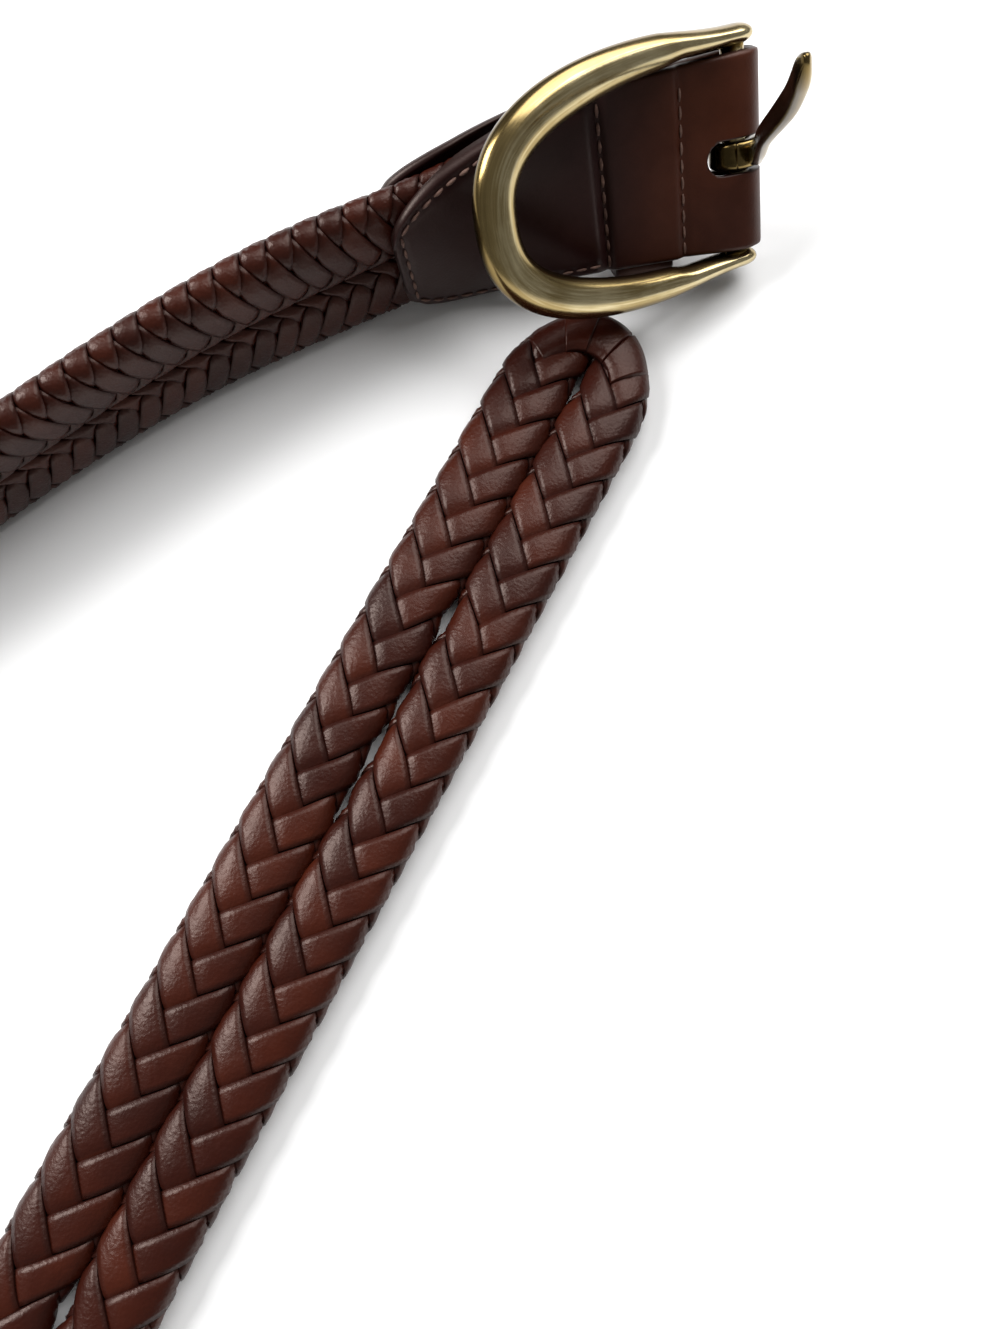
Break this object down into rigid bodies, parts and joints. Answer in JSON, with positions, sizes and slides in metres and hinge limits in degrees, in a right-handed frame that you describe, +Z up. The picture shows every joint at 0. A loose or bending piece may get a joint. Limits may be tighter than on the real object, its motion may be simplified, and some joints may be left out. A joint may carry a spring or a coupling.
{
  "type": "braided leather belt",
  "caption": "Braided leather belt lying in an open loop, with a folded leather tab, a keeper, and a brass horseshoe buckle whose frame and tongue swing on one bar.",
  "frame": {"origin": "on the surface the belt lies on, under the middle of its bounding box", "axes": "+Z up from that surface; +X and +Y lie in it, with the tip's straight run pointing 62 degrees anticlockwise from +X and the buckle end running along -X from the bar"},
  "size_m": [0.375, 0.3654, 0.0679],
  "materials": {
    "braid_leather": "semi-gloss pebbled reddish brown leather laces",
    "tab_leather": "smooth satin dark brown leather",
    "brass": "aged polished brass"
  },
  "bodies": {
    "strap": {"braid": "braid_leather", "chape": "tab_leather", "keeper": "tab_leather"},
    "frame": {"buckle_frame": "brass"},
    "tongue": {"tongue": "brass"}
  },
  "joints": [
    {"name": "frame_swing", "type": "hinge", "parent": "strap", "child": "frame", "pos_m": [0.18004, 0.16689, 0.0188], "axis": [-0.1627, 0.6755, 0.7191], "range_deg": [0, 161]},
    {"name": "tongue_swing", "type": "hinge", "parent": "frame", "child": "tongue", "pos_m": [0.18004, 0.16689, 0.0188], "axis": [-0.1627, 0.6755, 0.7191], "range_deg": [-53, 52]}
  ]
}
